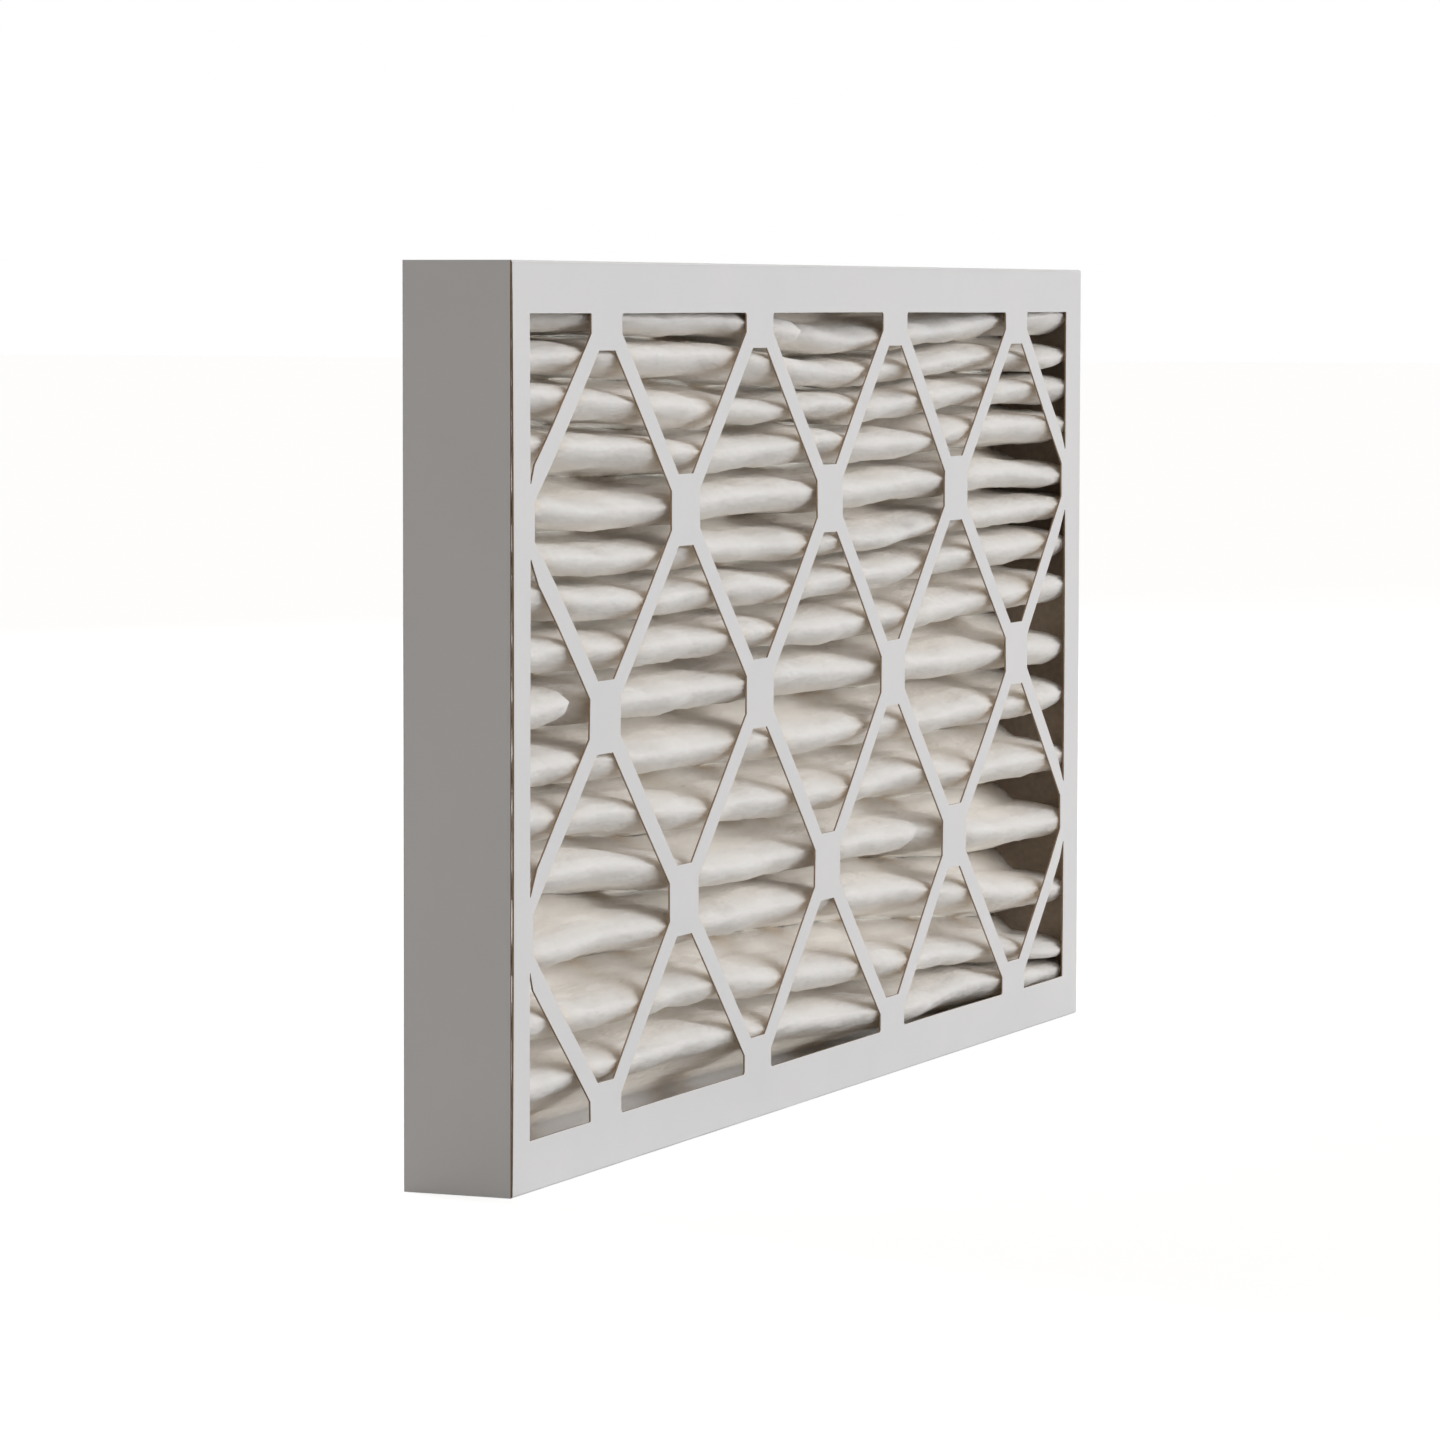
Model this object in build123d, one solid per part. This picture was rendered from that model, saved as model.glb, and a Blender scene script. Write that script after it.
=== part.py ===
from build123d import *
import math
import os

# A pleated panel air filter, two inches deep: one folded sheet of media between two trays of die-cut board.
# Millimetres. +X runs along the pleats, +Y is the way the air goes and +Z is up.
# Every piece is made about the middle of the filter, and written out standing on the XY plane.

# Frame, over its outer faces
frame_width = 622.3
frame_height = 342.9
frame_depth = 44.45

# Board of both trays
board = 0.7
fold_radius = 0.3  # inside a crease
glue_line = 0.1  # between two lapped boards
tab_length = 38.0
tab_setback = 1.5  # from a tab to the faces on either side of it
tab_corner = 6.0  # taken off each free corner of a tab

# Die-cut face, the same on both trays
edge_border = 19.3  # along the top and the bottom
end_border = 17.2  # along the two ends
junction_pitch_x = 150.0
junction_pitch_z = 152.1
junction_size = 27.8  # square pad where strips cross
strip_width = 9.2
cut_radius = 1.5  # where an opening meets the border
smallest_cut = 60.0  # an opening of less area isn't made

# Folded media
pleat_count = 15  # ridges on the entering side
media_thickness = 3.6
ridge_inside_radius = 0.5
media_face_gap = 0.3  # from the ridges to the faces
media_edge_gap = 0.3  # from the end legs to the flanges that they lie along
media_end_gap = 5.0  # from the cut ends of the pleats to the end tabs
leg_setback = 3.0  # from the middle of an end leg's free edge to the first ridges

# What one board takes up inside another, and how far a flange reaches behind the opposite face
lap = board + glue_line
flange_reach = frame_depth - lap
fold_outer_radius = fold_radius + board

# Inside the border of a face
clear_width = frame_width - 2 * end_border
clear_height = frame_height - 2 * edge_border


def folded_channel(plane, web, reach, run):
    # Board folded twice: a web across the plane's local X = 0, with flanges that reach towards its +X.
    outside = Pos(reach / 2, 0) * Rectangle(reach, web)
    outside = fillet(outside.vertices().group_by(Axis.X)[0], fold_outer_radius)
    inside = Pos(board + reach / 2, 0) * Rectangle(reach, web - 2 * board)
    inside = fillet(inside.vertices().group_by(Axis.X)[0], fold_radius)
    return extrude(plane * (outside - inside), amount=run / 2, both=True)


def eased(cut):
    # An opening with its corners rounded along the border, by less where its sides are short.
    corners = [corner for corner in cut.vertices() if on_border(corner)]
    shortest_side = min(side.length for side in cut.edges())
    return cut.fillet_2d(min(cut_radius, shortest_side / 3), corners) if corners else cut


def on_border(corner):
    return math.isclose(abs(corner.X), clear_width / 2) or math.isclose(abs(corner.Y), clear_height / 2)


def face_openings():
    # What is cut from a face: its clear rectangle less the crossing strips and the pads where they meet.
    reach = clear_width + clear_height
    strip = Rectangle(2 * reach, strip_width)
    strip_angle = math.degrees(math.atan2(junction_pitch_z, junction_pitch_x))
    pad = Rectangle(junction_size, junction_size)
    columns = math.ceil(reach / junction_pitch_x)
    rows = math.ceil(clear_height / junction_pitch_z)
    kept = []
    for column in range(-columns, columns + 1):
        across = column * junction_pitch_x / 2
        if column % 2:
            kept += [Pos(across, 0) * Rot(Z=turn) * strip for turn in (strip_angle, -strip_angle)]
        heights = [row * junction_pitch_z / 2 for row in range(-rows, rows + 1) if (column + row) % 2]
        kept += [Pos(across, height) * pad for height in heights]
    cuts = Rectangle(clear_width, clear_height) - kept
    return Sketch() + [eased(cut) for cut in cuts.faces() if cut.area > smallest_cut]


def front_tray(cuts):
    # The entering face with a flange folded back along its top and its bottom, and a tab at each flange end.
    # The flanges stop short of the ends, so the face alone covers the edges of the rear tray's flanges.
    face = Plane(origin=(0, -frame_depth / 2, 0), x_dir=(1, 0, 0), z_dir=(0, 1, 0))
    profile = Plane(origin=face.origin, x_dir=(0, 1, 0), z_dir=(1, 0, 0))
    tray = folded_channel(profile, frame_height, flange_reach, frame_width)
    past_flange = frame_width - lap - tab_setback
    trim = Box(frame_width, frame_depth, 2 * frame_height)
    tray -= [Pos(side * past_flange, board, 0) * trim for side in (-1, 1)]
    tab_depth = flange_reach - board - 2 * tab_setback
    tab_middle = (board + flange_reach - frame_depth) / 2
    under_top = Plane(origin=(0, tab_middle, frame_height / 2), x_dir=(0, 0, -1), z_dir=(0, 1, 0))
    tabs = folded_channel(under_top, frame_width - 2 * lap, tab_length, tab_depth)
    tabs = chamfer(tabs.edges().filter_by(Axis.X).group_by(Axis.Z)[0], tab_corner)
    return tray + [tabs, mirror(tabs, Plane.XY)] - extrude(face * cuts, board)


def rear_tray(cuts):
    # The leaving face with a flange folded forward at each end, over the tabs of the front tray.
    face = Plane(origin=(0, frame_depth / 2, 0), x_dir=(1, 0, 0), z_dir=(0, -1, 0))
    profile = Plane(origin=face.origin, x_dir=(0, -1, 0), z_dir=(0, 0, 1))
    return folded_channel(profile, frame_width, flange_reach, frame_height) - extrude(face * cuts, board)


def pleated_media():
    # One sheet, folded to and fro across the depth, with a leg laid along the bottom and the top flange.
    bend = ridge_inside_radius + media_thickness / 2
    ridge = frame_depth / 2 - board - media_face_gap - media_thickness / 2
    leg = frame_height / 2 - board - media_edge_gap - media_thickness / 2
    pitch = 2 * (leg - bend) / pleat_count
    path = [(leg_setback - ridge, -leg), (ridge, -leg)]
    for pleat in range(pleat_count):
        middle = bend - leg + (pleat + 0.5) * pitch
        path += [(ridge, middle - pitch / 2 + bend), (-ridge, middle - bend)]
        path += [(-ridge, middle + bend), (ridge, middle + pitch / 2 - bend)]
    path += [(ridge, leg), (leg_setback - ridge, leg)]
    fold_line = FilletPolyline(*path, radius=bend).wire()
    section = make_face(fold_line.offset_2d(media_thickness / 2, side=Side.BOTH))
    length = frame_width - 2 * (lap + board + media_end_gap)
    print(f"media cut to {length:.1f} by {fold_line.length:.1f} mm")
    return extrude(Plane.YZ * section, amount=length / 2, both=True)


cuts = face_openings()
nodes = {"front_tray": front_tray(cuts), "rear_tray": rear_tray(cuts), "pleated_media": pleated_media()}
os.makedirs("parts", exist_ok=True)
for name, solid in nodes.items():
    export_step(Pos(0, 0, frame_height / 2) * solid, f"parts/{name}.step")
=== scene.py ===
import math
import bpy
from mathutils import Matrix, Vector, noise


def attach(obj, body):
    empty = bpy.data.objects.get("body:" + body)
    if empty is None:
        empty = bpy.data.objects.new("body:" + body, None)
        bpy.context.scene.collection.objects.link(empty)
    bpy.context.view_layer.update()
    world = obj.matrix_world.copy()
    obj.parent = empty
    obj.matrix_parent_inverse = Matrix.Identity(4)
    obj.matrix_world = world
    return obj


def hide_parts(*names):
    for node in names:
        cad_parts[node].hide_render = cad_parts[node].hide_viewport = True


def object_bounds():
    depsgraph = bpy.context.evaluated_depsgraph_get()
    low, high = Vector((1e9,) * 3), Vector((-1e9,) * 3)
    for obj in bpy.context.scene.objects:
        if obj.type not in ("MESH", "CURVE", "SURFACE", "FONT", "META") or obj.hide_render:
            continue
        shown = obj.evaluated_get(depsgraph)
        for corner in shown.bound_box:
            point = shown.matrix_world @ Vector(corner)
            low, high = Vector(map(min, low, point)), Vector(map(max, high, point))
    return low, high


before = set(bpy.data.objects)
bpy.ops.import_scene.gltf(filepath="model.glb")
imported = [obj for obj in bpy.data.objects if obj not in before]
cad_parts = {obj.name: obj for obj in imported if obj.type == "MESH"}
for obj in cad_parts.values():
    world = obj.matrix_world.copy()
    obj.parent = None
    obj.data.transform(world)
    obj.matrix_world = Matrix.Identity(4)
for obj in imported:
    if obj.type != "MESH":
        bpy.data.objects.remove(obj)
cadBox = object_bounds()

# Metres. +X runs along the pleats, +Y is the way the air goes, +Z is up.
# The trays are bent copies of the CAD trays, and the media is one sheet folded between them.

mm = 0.001
low, high = cadBox  # the outer face of the entering side is at low.y, and of the leaving side at high.y
middle = (low + high) / 2


def clamp(value, least=0, most=1):
    return min(most, max(least, value))


def slowEnds(share):
    # From 0 to 1, with a slow start and a slow end.
    return share * share * (3 - 2 * share)


def deselectAll():
    if bpy.context.object and bpy.context.object.mode != "OBJECT":
        bpy.ops.object.mode_set(mode="OBJECT")
    bpy.ops.object.select_all(action="DESELECT")


def pickOnly(piece):
    deselectAll()
    piece.select_set(True)
    bpy.context.view_layer.objects.active = piece


def newMaterial(name):
    material = bpy.data.materials.new(name)
    material.use_nodes = True
    material.node_tree.nodes.clear()
    return material, material.node_tree.nodes, material.node_tree.links


view = {
    "place": (-2.26325, -0.923425, 0.3273),
    # In degrees
    "turn": 67.235,  # from +Y towards +X
    "down": 4.029,
    "roll": 0.116,
    # In mm
    "lens": 147.9,
    "sensor": 36,
}


def addCamera():
    bpy.ops.object.camera_add()
    camera = bpy.context.object
    camera.data.lens = view["lens"]
    camera.data.sensor_width = view["sensor"]
    turned = Matrix.Rotation(math.radians(-view["turn"]), 4, "Z")
    tipped = Matrix.Rotation(math.radians(90 - view["down"]), 4, "X")
    rolled = Matrix.Rotation(math.radians(view["roll"]), 4, "Z")
    camera.matrix_world = Matrix.Translation(view["place"]) @ turned @ tipped @ rolled
    bpy.context.scene.camera = camera


light = {
    "fronts": (  # which way each front lamp stands, and its power
        ((-0.75, -1.0, 0.3), 0.27),
        ((0.15, -1.0, 0.34), 1.1),
        ((1.1, -1.0, 0.3), 0.66),
    ),
    "frontSpread": 50,  # degrees across, as seen from the filter
    "frontTone": (0.985, 1.0, 1.035),
    "backPlace": (1.3, 2.1, 1.5),
    "backSize": (2.2, 1.4),
    "backPower": 78,
    "backTone": (1.0, 0.955, 0.895),
    "worldTone": (1.0, 0.92, 0.835),
    "worldStrength": (0.485, 0.12),  # from straight in front and from straight behind
    "floorSize": 60,
    "floorDrop": 0.1 * mm,  # below the filter
    "floorTone": 0.4,
    "floorLift": 0.8,  # light the floor gives off to the camera alone
}


def addLights():
    for towards, power in light["fronts"]:
        bpy.ops.object.light_add(type="SUN")
        front = bpy.context.object
        front.data.energy = power
        front.data.angle = math.radians(light["frontSpread"])
        front.data.color = light["frontTone"]
        front.rotation_euler = Vector(towards).to_track_quat("Z", "Y").to_euler()
    bpy.ops.object.light_add(type="AREA", location=light["backPlace"])
    back = bpy.context.object
    back.data.shape = "RECTANGLE"
    back.data.size, back.data.size_y = light["backSize"]
    back.data.energy = light["backPower"]
    back.data.color = light["backTone"]
    aim = Vector((0, 0, middle.z))
    back.rotation_euler = (Vector(light["backPlace"]) - aim).to_track_quat("Z", "Y").to_euler()


def seenDirectly(nodes, links):
    # 1 for a ray that is seen, or that glass or metal shows, and 0 for one that only lights.
    paths = nodes.new("ShaderNodeLightPath")
    first = nodes.new("ShaderNodeMath")
    first.operation = "MAXIMUM"
    second = nodes.new("ShaderNodeMath")
    second.operation = "MAXIMUM"
    links.new(paths.outputs["Is Camera Ray"], first.inputs[0])
    links.new(paths.outputs["Is Glossy Ray"], first.inputs[1])
    links.new(first.outputs[0], second.inputs[0])
    links.new(paths.outputs["Is Transmission Ray"], second.inputs[1])
    return second.outputs[0]


def addWorld():
    world = bpy.data.worlds.new("studio")
    bpy.context.scene.world = world
    world.use_nodes = True
    nodes, links = world.node_tree.nodes, world.node_tree.links
    nodes.clear()
    ambient = nodes.new("ShaderNodeBackground")
    ambient.inputs["Color"].default_value = light["worldTone"] + (1,)
    towards = nodes.new("ShaderNodeTexCoord")
    parts = nodes.new("ShaderNodeSeparateXYZ")
    fade = nodes.new("ShaderNodeMapRange")
    fade.inputs["From Min"].default_value = -1
    fade.inputs["To Min"].default_value, fade.inputs["To Max"].default_value = light["worldStrength"]
    links.new(towards.outputs["Generated"], parts.inputs[0])
    links.new(parts.outputs["Y"], fade.inputs["Value"])
    links.new(fade.outputs[0], ambient.inputs["Strength"])
    shown = nodes.new("ShaderNodeBackground")
    shown.inputs["Color"].default_value = (1, 1, 1, 1)
    shown.inputs["Strength"].default_value = 1
    mix = nodes.new("ShaderNodeMixShader")
    out = nodes.new("ShaderNodeOutputWorld")
    links.new(seenDirectly(nodes, links), mix.inputs[0])
    links.new(ambient.outputs[0], mix.inputs[1])
    links.new(shown.outputs[0], mix.inputs[2])
    links.new(mix.outputs[0], out.inputs["Surface"])


def addFloor():
    bpy.ops.mesh.primitive_plane_add(size=light["floorSize"], location=(0, 0, -light["floorDrop"]))
    floor = bpy.context.object
    floor.name = "floor"
    material, nodes, links = newMaterial("floor_paint")
    paint = nodes.new("ShaderNodeBsdfDiffuse")
    paint.inputs["Color"].default_value = (light["floorTone"],) * 3 + (1,)
    glow = nodes.new("ShaderNodeEmission")
    strength = nodes.new("ShaderNodeMath")
    strength.operation = "MULTIPLY"
    strength.inputs[1].default_value = light["floorLift"]
    links.new(seenDirectly(nodes, links), strength.inputs[0])
    links.new(strength.outputs[0], glow.inputs["Strength"])
    both = nodes.new("ShaderNodeAddShader")
    links.new(paint.outputs[0], both.inputs[0])
    links.new(glow.outputs[0], both.inputs[1])
    finish(nodes, links, both)
    floor.data.materials.append(material)


def noiseNode(nodes, links, place, scale, detail, stretch=(1, 1, 1)):
    spread = nodes.new("ShaderNodeMapping")
    spread.inputs["Scale"].default_value = stretch
    links.new(place.outputs["Object"], spread.inputs["Vector"])
    grain = nodes.new("ShaderNodeTexNoise")
    grain.inputs["Scale"].default_value = scale
    grain.inputs["Detail"].default_value = detail
    links.new(spread.outputs[0], grain.inputs["Vector"])
    return grain.outputs["Fac"]


def betweenTones(nodes, links, pair, share):
    # From one tone to the other over the middle half of a noise.
    spread = nodes.new("ShaderNodeMapRange")
    spread.inputs["From Min"].default_value = 0.25
    spread.inputs["From Max"].default_value = 0.75
    links.new(share, spread.inputs["Value"])
    mix = nodes.new("ShaderNodeMix")
    mix.data_type = "RGBA"
    colours = [socket for socket in mix.inputs if socket.type == "RGBA"]
    colours[0].default_value = pair[0] + (1,)
    colours[1].default_value = pair[1] + (1,)
    links.new(spread.outputs[0], mix.inputs["Factor"])
    return [socket for socket in mix.outputs if socket.type == "RGBA"][0]


def bumpNode(nodes, links, height, strength, distance):
    raised = nodes.new("ShaderNodeBump")
    raised.inputs["Strength"].default_value = strength
    raised.inputs["Distance"].default_value = distance
    links.new(height, raised.inputs["Height"])
    return raised.outputs[0]


def softSurface(nodes, shine):
    # A surface shader of a given roughness and specular level.
    surface = nodes.new("ShaderNodeBsdfPrincipled")
    surface.inputs["Roughness"].default_value = shine[0]
    surface.inputs["Specular IOR Level"].default_value = shine[1]
    return surface


def finish(nodes, links, surface):
    out = nodes.new("ShaderNodeOutputMaterial")
    links.new(surface.outputs[0], out.inputs["Surface"])


board = {
    # The two tones of the white coating, the brown inner side and the cut edges
    "coat": ((0.771, 0.771, 0.773), (0.745, 0.750, 0.759)),
    "inside": ((0.66, 0.565, 0.475), (0.54, 0.45, 0.365)),
    "cut": ((0.42, 0.285, 0.18), (0.30, 0.195, 0.12)),
    "coatShine": (0.6, 0.35),  # roughness and specular level
    "brownShine": (0.9, 0.2),
    # Noises: scale, detail and stretch
    "clouds": (28, 4),
    "tooth": (1400, 2),
    "fibres": (420, 5, (0.35, 1, 1)),
    "toothBump": (0.25, 0.1 * mm),  # strength and depth
    "fibreBump": (0.5, 0.2 * mm),
    "fold": 1.0 * mm,  # outer radius, with a little to spare
    "core": (0.1 * mm, 0.6 * mm),  # how deep the middle of a cut edge lies, at least and at most
    "level": 0.9999,  # cosine of the angle up to which two faces count as one flat face
    "cutEvery": 15 * mm,  # how closely a tray is cut up so that it can bend
    "bendDepth": 1.2 * mm,  # how much of a tray bends with its face
    # Out of true: by how much, on what scale and in which layer of the noise, moved for each face
    "wander": (0.4 * mm, 9, 5.5),  # of the strips, in the plane of the face
    "wave": (1.6 * mm, 7, 1.7),  # of the face, in and out
    "wanderFrom": 20 * mm,  # how far from the outline the strips wander in full
    "seed": 3,  # which way they wander
    "stiffFold": 0.2,  # share of the height over which the long folds keep a face flat
    "stiffEnd": 45 * mm,  # how far the ends keep it flat
    "looseEdge": 0.75 * mm,  # the left edge stands this far off the flange behind it
    "looseWidth": 35 * mm,
    "looseShape": 0.6,  # below 1 the edge is loose over more of its height
    # Places across the front face as the CAD has them and as they lie here, in mm from the left end
    "drawn": (0, 17.2, 25.05, 35, 60, 86, 300, 597.25, 605.1, 622.3),
    "lies": (0, 15.2, 19, 31.2, 58, 85, 300, 597.6, 602.6, 622.3),
}


def coatedPaper():
    # White coated board: faint clouds in its tone and a fine tooth.
    material, nodes, links = newMaterial("coated_paper")
    place = nodes.new("ShaderNodeTexCoord")
    clouds = noiseNode(nodes, links, place, *board["clouds"])
    tooth = noiseNode(nodes, links, place, *board["tooth"])
    surface = softSurface(nodes, board["coatShine"])
    links.new(betweenTones(nodes, links, board["coat"], clouds), surface.inputs["Base Color"])
    links.new(bumpNode(nodes, links, tooth, *board["toothBump"]), surface.inputs["Normal"])
    finish(nodes, links, surface)
    return material


def rawBoard(part):
    # The brown inner side or the cut edges: short fibres that lie mostly along the board.
    material, nodes, links = newMaterial("board_" + part)
    place = nodes.new("ShaderNodeTexCoord")
    fibres = noiseNode(nodes, links, place, *board["fibres"])
    surface = softSurface(nodes, board["brownShine"])
    links.new(betweenTones(nodes, links, board[part], fibres), surface.inputs["Base Color"])
    links.new(bumpNode(nodes, links, fibres, *board["fibreBump"]), surface.inputs["Normal"])
    finish(nodes, links, surface)
    return material


def movedAlong(fromLeft):
    # How far a place on the front face lies from where the CAD has it, in mm.
    drawn, lies = board["drawn"], board["lies"]
    index = sum(fromLeft > mark for mark in drawn[1:-1])
    share = (fromLeft - drawn[index]) / (drawn[index + 1] - drawn[index])
    return lies[index] + share * (lies[index + 1] - lies[index]) - fromLeft


def bow(x, z, side):
    # How far a die-cut face stands out of its plane at a place, less than 0 where it is pressed in.
    up = clamp((z - low.z) / (high.z - low.z))
    offFolds = clamp(min(up, 1 - up) / board["stiffFold"])
    offEnds = clamp(min(x - low.x, high.x - x) / board["stiffEnd"])
    most, scale, layer = board["wave"]
    wave = most * noise.noise(Vector((x * scale, z * scale, layer + 8 * side)))
    wave *= offFolds * slowEnds(offEnds)
    if side > 0:
        return wave
    loose = math.sin(math.pi * up) ** board["looseShape"]
    loose *= max(0, 1 - (x - low.x) / board["looseWidth"])
    return wave * (1 - loose) + board["looseEdge"] * loose


def cutUp():
    # Cuts the piece in hand along planes across its length and its height.
    for axis in (0, 2):
        count = round((high[axis] - low[axis]) / board["cutEvery"])
        for cut in range(1, count):
            place, across = Vector((0, 0, 0)), Vector((0, 0, 0))
            place[axis] = low[axis] + (high[axis] - low[axis]) * cut / count
            across[axis] = 1
            bpy.ops.mesh.select_all(action="SELECT")
            bpy.ops.mesh.bisect(plane_co=place, plane_no=across)


def bendFace(piece, side):
    skin = low.y if side < 0 else high.y
    most, scale, layer = board["wander"]
    noise.seed_set(board["seed"])  # without it the strips wander another way in each run
    for vertex in piece.data.vertices:
        x, y, z = vertex.co
        if abs(y - skin) > board["bendDepth"]:
            continue
        inward = min(x - low.x, high.x - x, z - low.z, high.z - z)
        drift = noise.noise_vector(Vector((x * scale, z * scale, layer + side))) * most
        drift *= min(1, inward / board["wanderFrom"])
        moved = movedAlong((x - low.x) / mm) * mm if side < 0 else 0
        vertex.co = (x + moved + drift.x, y + side * bow(x, z, side), z + drift.z)


def markCreases(piece):
    # Flat faces stay flat beside the rounded folds.
    facesBeside = {}
    for face in piece.data.polygons:
        face.use_smooth = True
        for key in face.edge_keys:
            facesBeside.setdefault(key, []).append(face)
    for edge in piece.data.edges:
        pair = facesBeside[edge.key]
        flat = [max(abs(part) for part in face.normal) > board["level"] for face in pair]
        turned = len(pair) < 2 or pair[0].normal.dot(pair[1].normal) < board["level"]
        edge.use_edge_sharp = turned and any(flat)


def onCutEdge(face):
    # Whether the face lies across the thickness of the board.
    least, most = board["core"]
    for axis in range(3):
        inward = min(face.center[axis] - low[axis], high[axis] - face.center[axis])
        if least < inward < most and abs(face.normal[axis]) < 0.1:
            return True
    return False


def makeTray(name, side, outerSides, materials):
    # A bent copy of the CAD tray, whose coated outer faces are given as (axis, side).
    # The materials are those of the inner side, the coating and the cut edges.
    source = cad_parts[name]
    piece = bpy.data.objects.new(name + "_board", source.data.copy())
    bpy.context.scene.collection.objects.link(piece)
    pickOnly(piece)
    bpy.ops.object.mode_set(mode="EDIT")
    bpy.ops.mesh.select_all(action="SELECT")
    bpy.ops.mesh.remove_doubles(threshold=0.001 * mm)
    bpy.ops.mesh.dissolve_limited(angle_limit=math.radians(0.1))
    cutUp()
    bpy.ops.object.mode_set(mode="OBJECT")
    piece.data.materials.clear()
    for material in materials:
        piece.data.materials.append(material)
    for face in piece.data.polygons:
        face.material_index = 2 if onCutEdge(face) else 0
        for axis, outer in outerSides:
            skin = low[axis] if outer < 0 else high[axis]
            near = abs(face.center[axis] - skin) < board["fold"]
            if near and face.normal[axis] * outer > 0.3:  # it looks outwards, or is in a fold
                face.material_index = 1
    markCreases(piece)
    bendFace(piece, side)
    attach(piece, "root")
    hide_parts(name)
    print("tray:", name, len(piece.data.polygons), "faces")


media = {
    "flat": (0.6093, 1.3542),  # along the pleats and along the fold line
    "thickness": 3.8 * mm,
    "columns": 124,
    "ridgeGap": 2.75 * mm,  # outer face of a tray to the middle of the sheet at a ridge
    "topLeg": (6 * mm, 5.2 * mm, 6),  # its cut end from the front, and the step and count of its points
    "bottomLeg": (4 * mm, 6),  # the step and count of its points
    # Half the height of the turn at each leg: as a share of its room, at least and at most
    "endTurn": (0.25, 4 * mm, 9 * mm),
    # How much of its room a ridge fills below and above its nose, and how deep that is
    "under": (0.88, 11 * mm),
    "over": (0.48, 24 * mm),
    "fattest": (5.6 * mm, 6.7 * mm),  # above and below
    "thinnest": 2 * mm,
    # From 0 for a pointed ridge to 1 for a round one: along it, at its ends, and how far from them
    "noseRound": (0.26, 1.0, 35 * mm),
    "rearRound": 0.22,
    "rearTurn": (3 * mm, 5 * mm),  # half its height, and its depth
    "legEase": 0.3,  # 0 is a straight leg between two turns
    "ridgeSteps": 10,
    "valleySteps": 6,
    "legSteps": 3,
    # Unevenness: how much, on what scale along a ridge, the step from ridge to ridge, and the layer
    "sway": (4.5 * mm, 11, 3.1, 0.5),  # of how far the ridges stand back from the face
    "swell": (0.2, 16, 2.3, 4.5),  # of how fat they are
    "wobble": (2.2 * mm, 19, 4.7, 8.5),  # of their height
    "endRound": (9 * mm, 4 * mm),  # how far from its end a ridge falls back, and by how much
    "lumps": ((26 * mm, 2.6 * mm), (9 * mm, 1.1 * mm)),  # size and height
    "pressed": 0.8 * mm,  # from the outer face of a tray to the sheet behind a strip
    "bulge": 0.5 * mm,  # of a ridge into the middle of an opening
    "calmRows": (13, 6),  # rows that lie flat on each flange, and rows over which the sheet comes away
    "padStep": (75 * mm, 76.05 * mm),  # half the distance between two pads in a row and in a column
    "stripSpacing": 106.8 * mm,  # between two strips side by side
    "white": ((0.966, 0.925, 0.868), (0.944, 0.898, 0.834)),
    "paintedBounceTone": (0.80, 0.655, 0.50),  # painted bounce light: the brown light the board would throw back on the sheet, painted into its colour
    # How far from a strip and from a face the painted bounce light reaches
    "paintedBounceWidth": 9 * mm,
    "paintedBounceDepth": 9 * mm,
    "shine": (0.95, 0.2),  # roughness and specular level
    "scatter": 16 * mm,  # how far light spreads inside
    "mottle": (70, 3, (0.5, 1, 1)),  # scale, detail and stretch, here and of the tufts and the hairs
    "tufts": (150, 2, (0.4, 1, 1)),
    "hairs": (480, 4, (0.4, 1, 1)),
    "tuftHeight": 8,  # times a hair's
    "napBump": (0.9, 0.3 * mm),  # strength and depth
    # Where a ridge is pushed in: which one, mm from the left, how wide and how deep
    "dents": ((0, 42, 24, 7), (0, 293, 8, 7), (8, 68, 9, 7), (11, 437, 14, 7), (0, 540, 20, 3)),
    # Where each ridge crosses seven stations from the left end to the right, in mm below the top
    "stations": (20, 115, 210, 305, 400, 495, 590),
    "ridges": (
        (19.5, 22.5, 22, 29.5, 29.5, 25.5, 22.5),
        (34.5, 35.5, 36.5, 42.5, 43.5, 38.5, 39.5),
        (48.5, 54, 57.5, 57.5, 57.5, 53.5, 53.5),
        (65.5, 71, 74, 72, 74.5, 70.5, 69.5),
        (90.5, 94, 91.5, 92.5, 92, 90.5, 93.5),
        (110, 112, 112.5, 113.5, 112.5, 107.5, 107.5),
        (123, 130, 128.5, 129.5, 128.5, 124.5, 124),
        (144, 146.5, 146.5, 147.5, 147, 145, 144.5),
        (165, 166, 166.5, 166.5, 168.5, 169.5, 171),
        (186.5, 189, 190, 192, 192.5, 192.5, 194),
        (206, 210, 215, 216.5, 216.5, 219.5, 221.5),
        (226.5, 230, 239.5, 240, 241.5, 247.5, 250.5),
        (255, 256, 259.5, 261.5, 265.5, 274, 282.5),
        (280.5, 284, 285.5, 290.5, 296, 300.5, 310),
        (304, 304.5, 306.5, 310, 316.5, 316, 320.5),
    ),
}


def along(values, place):
    # A smooth line through the values at the stations.
    stations = media["stations"]
    last = len(stations) - 2
    index = min(last, sum(place > station for station in stations[1:-1]))
    share = (place - stations[index]) / (stations[index + 1] - stations[index])
    share = clamp(share, -0.3, 1.3)  # no further past the last station than this
    before, start = values[max(0, index - 1)], values[index]
    end, after = values[index + 1], values[min(last + 1, index + 2)]
    leaving, arriving = (end - before) / 2, (after - start) / 2
    square, cube = share ** 2, share ** 3
    return (
        start * (2 * cube - 3 * square + 1)
        + leaving * (cube - 2 * square + share)
        + end * (3 * square - 2 * cube)
        + arriving * (cube - square)
    )


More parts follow.
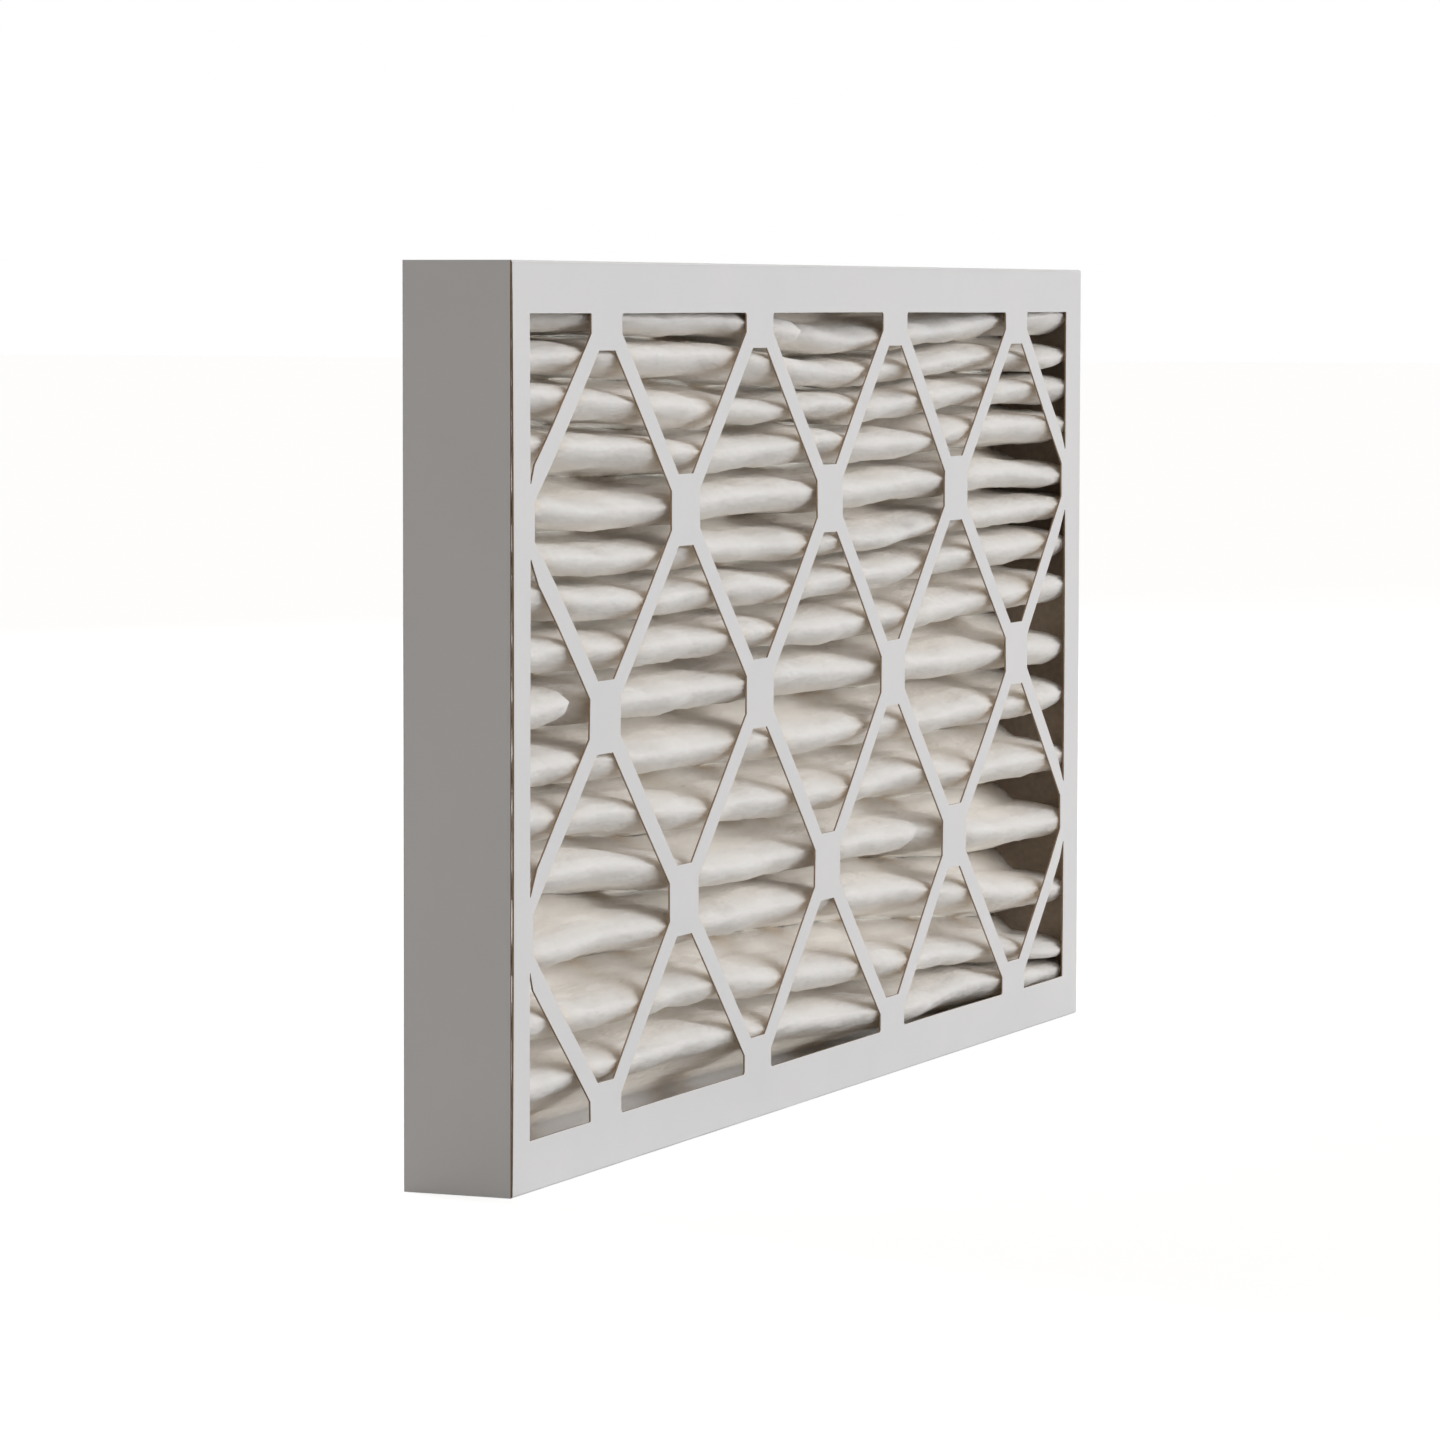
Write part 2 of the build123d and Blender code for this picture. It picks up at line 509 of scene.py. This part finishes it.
def uneven(kind, x, index):
    # What one kind of unevenness adds at a place on a ridge.
    most, scale, step, layer = media[kind]
    return most * noise.noise(Vector((x * scale, index * step, layer)))


def acrossStrips(x, z):
    # A place counted in strips both ways: a strip runs halfway between each two whole numbers.
    stepX, stepZ = media["padStep"]
    right, up = x / stepX, (z - middle.z) / stepZ
    return (right + up) / 2, (right - up) / 2


def openness(x, z):
    # 0 behind a strip of the lattice and 1 in the middle of an opening.
    rising, falling = acrossStrips(x, z)
    return abs(math.cos(math.pi * rising)) * abs(math.cos(math.pi * falling))


def setBack(index, x, height):
    # How far the middle of the sheet lies behind the plane of the face at a ridge.
    fromLeft = (x - low.x) / mm
    back = media["ridgeGap"] + max(0, uneven("sway", x, index))
    reach, fall = media["endRound"]
    fromEnd = media["flat"][0] / 2 - abs(x)
    back += fall * max(0, 1 - fromEnd / reach) ** 2
    for ridge, place, width, deep in media["dents"]:
        if ridge == index:
            back += deep * mm * math.exp(-((fromLeft - place) / width) ** 2)
    return back - bow(x, height, -1)


def turn(nose, height, upper, lower, side, steps, roundness):
    # A turn of the sheet, from above to below: its nose is at (nose, height) and points to -Y for side -1.
    # upper and lower say how far it reaches up and down, and how deep it is there.
    points = []
    for step in range(steps + 1):
        rise = math.cos(math.pi * step / steps)
        blunt = (math.hypot(rise, roundness) - roundness) / (math.hypot(1, roundness) - roundness)
        reach, deep = upper if rise > 0 else lower
        points.append((nose - side * deep * math.asin(blunt) * 2 / math.pi, height + reach * rise))
    return points


def leg(start, end):
    # From one turn to the next, leaving and arriving more nearly straight across the depth.
    points = []
    for step in range(1, media["legSteps"]):
        share = step / media["legSteps"]
        rise = share + media["legEase"] * (slowEnds(share) - share)
        points.append((start[0] + (end[0] - start[0]) * share, start[1] + (end[1] - start[1]) * rise))
    return points


def fatness(index, x, roomAbove, roomBelow):
    # How far a ridge reaches above its nose and below it, each with how deep it is there.
    swell = 1 + uneven("swell", x, index)
    upShare, upDeep = media["over"]
    downShare, downDeep = media["under"]
    upMost, downMost = media["fattest"]
    up = clamp(upShare * swell * roomAbove, media["thinnest"], upMost)
    down = clamp(downShare * swell * roomBelow - media["thickness"] / 2, media["thinnest"], downMost)
    return (up, upDeep), (down, downDeep)


def foldLine(x):
    # The fold line of the sheet across the depth at x: pairs of (y, z), from the top leg to the bottom one.
    fromLeft = (x - low.x) / mm
    fromEnd = media["flat"][0] / 2 - abs(x)
    rear = high.y - media["ridgeGap"]
    legTop, legBottom = high.z - media["ridgeGap"], low.z + media["ridgeGap"]
    ridges = []
    for index, values in enumerate(media["ridges"]):
        ridges.append(high.z - along(values, fromLeft) * mm + uneven("wobble", x, index))
    room, least, most = media["endTurn"]
    topTurn = clamp(room * (legTop - ridges[0]), least, most)
    bottomTurn = clamp(room * (ridges[-1] - legBottom), least, most)
    valleys = [(above + below) / 2 for above, below in zip(ridges, ridges[1:])]
    valleys = [legTop - topTurn] + valleys + [legBottom + bottomTurn]
    small, deep = media["rearTurn"]
    rearTurns = [(small, deep)] * len(valleys)
    rearTurns[0], rearTurns[-1] = (topTurn, 2 * deep), (bottomTurn, 2 * deep)
    inner, outer, reach = media["noseRound"]
    noseRound = inner + (outer - inner) * max(0, 1 - fromEnd / reach)

    backs = []
    for height, size in zip(valleys, rearTurns):
        backs.append(turn(rear, height, size, size, 1, media["valleySteps"], media["rearRound"]))
    start, step, count = media["topLeg"]
    points = [(low.y + start + number * step, legTop) for number in range(count)] + backs[0]
    for index, height in enumerate(ridges):
        up, down = fatness(index, x, valleys[index] - height, height - valleys[index + 1])
        nose = low.y + setBack(index, x, height)
        front = turn(nose, height, up, down, -1, media["ridgeSteps"], noseRound)
        back = backs[index + 1]
        points += leg(points[-1], front[0]) + front + leg(front[-1], back[0]) + back
    step, count = media["bottomLeg"]
    points += [(rear - 2 * deep - number * step, legBottom) for number in range(1, count + 1)]
    return points


def pressBetweenFaces(piece):
    # The strips press the ridges flat, and the ridges swell a little into the openings.
    for vertex in piece.data.vertices:
        x, y, z = vertex.co
        gap = media["pressed"] - media["bulge"] * openness(x, z)
        front = low.y + gap - bow(x, z, -1)
        rear = high.y - gap + bow(x, z, 1)
        vertex.co.y = min(rear, max(front, y))


def paintBounceNearBoard(piece):
    # Painted bounce light: how much brown light the strips would throw back on the sheet, kept as a value
    # at each vertex that falls off away from the strips and the faces.
    glow = piece.data.attributes.new("paintedBounceShare", "FLOAT", "POINT")
    shares = []
    for vertex in piece.data.vertices:
        x, y, z = vertex.co
        away = min(abs(count % 1 - 0.5) for count in acrossStrips(x, z)) * media["stripSpacing"]
        deep = min(y - low.y, high.y - y)
        shares.append(math.exp(-((away / media["paintedBounceWidth"]) ** 2) - deep / media["paintedBounceDepth"]))
    glow.data.foreach_set("value", shares)


def makeMedia():
    width = media["flat"][0]
    columns = media["columns"]
    rows = len(foldLine(0)) - 1
    bpy.ops.mesh.primitive_grid_add(x_subdivisions=columns, y_subdivisions=rows, size=1)
    piece = bpy.context.object
    piece.name = "media_sheet"
    places = []
    lines = [foldLine(width * (column / columns - 0.5)) for column in range(columns + 1)]
    for row in range(rows + 1):
        for column in range(columns + 1):
            x = width * (column / columns - 0.5)
            y, z = lines[column][row]
            places += [x, y, z]
    piece.data.vertices.foreach_set("co", places)
    piece.data.update()
    pickOnly(piece)
    for size, height in media["lumps"]:
        clouds = bpy.data.textures.new("lumps", "CLOUDS")
        clouds.noise_scale = size
        clouds.noise_depth = 1
        push = piece.modifiers.new("lumps", "DISPLACE")
        push.texture = clouds
        push.texture_coords = "LOCAL"
        push.strength = height
        push.mid_level = 0.5
        bpy.ops.object.modifier_apply(modifier=push.name)
    # Both legs lie flat on their flanges
    flatRows, fadeRows = media["calmRows"]
    for index, vertex in enumerate(piece.data.vertices):
        row = index // (columns + 1)
        share = clamp((min(row, rows - row) - flatRows) / fadeRows)
        vertex.co = Vector(places[3 * index:3 * index + 3]).lerp(vertex.co, share)
    thick = piece.modifiers.new("thickness", "SOLIDIFY")
    thick.thickness = media["thickness"]
    thick.offset = 0
    bpy.ops.object.modifier_apply(modifier=thick.name)
    bpy.ops.object.mode_set(mode="EDIT")
    bpy.ops.mesh.select_all(action="SELECT")
    bpy.ops.mesh.normals_make_consistent(inside=False)
    bpy.ops.object.mode_set(mode="OBJECT")
    bpy.ops.object.shade_smooth()
    pressBetweenFaces(piece)
    paintBounceNearBoard(piece)
    print("media:", rows, "rows", len(piece.data.polygons), "faces")
    return piece


def fibreMat():
    # Soft white fibre that light goes into.
    material, nodes, links = newMaterial("fibre_mat")
    place = nodes.new("ShaderNodeTexCoord")
    mottle = noiseNode(nodes, links, place, *media["mottle"])
    tufts = noiseNode(nodes, links, place, *media["tufts"])
    hairs = noiseNode(nodes, links, place, *media["hairs"])
    tone = betweenTones(nodes, links, media["white"], mottle)
    # Painted bounce light: the colour turns tan where the strips would throw brown light on the sheet
    glow = nodes.new("ShaderNodeAttribute")
    glow.attribute_name = "paintedBounceShare"
    paintedBounceMix = nodes.new("ShaderNodeMix")
    paintedBounceMix.data_type = "RGBA"
    first, second = [socket for socket in paintedBounceMix.inputs if socket.type == "RGBA"]
    links.new(tone, first)
    second.default_value = media["paintedBounceTone"] + (1,)
    links.new(glow.outputs["Fac"], paintedBounceMix.inputs["Factor"])
    heights = nodes.new("ShaderNodeMath")
    heights.operation = "MULTIPLY_ADD"
    heights.inputs[1].default_value = media["tuftHeight"]
    links.new(tufts, heights.inputs[0])
    links.new(hairs, heights.inputs[2])
    surface = softSurface(nodes, media["shine"])
    surface.inputs["Subsurface Weight"].default_value = 1
    surface.inputs["Subsurface Radius"].default_value = (1, 1, 1)
    surface.inputs["Subsurface Scale"].default_value = media["scatter"]
    colour = [socket for socket in paintedBounceMix.outputs if socket.type == "RGBA"][0]
    links.new(colour, surface.inputs["Base Color"])
    links.new(bumpNode(nodes, links, heights.outputs[0], *media["napBump"]), surface.inputs["Normal"])
    finish(nodes, links, surface)
    return material


bpy.context.scene.view_settings.view_transform = "Standard"
addCamera()
addLights()
addWorld()
addFloor()
print("studio: camera, lamps, world and floor")
boardSides = (rawBoard("inside"), coatedPaper(), rawBoard("cut"))
makeTray("front_tray", -1, ((1, -1), (2, -1), (2, 1)), boardSides)
makeTray("rear_tray", 1, ((1, 1), (0, -1), (0, 1)), boardSides)
mediaSheet = makeMedia()
mediaSheet.data.materials.append(fibreMat())
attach(mediaSheet, "root")
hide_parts("pleated_media")
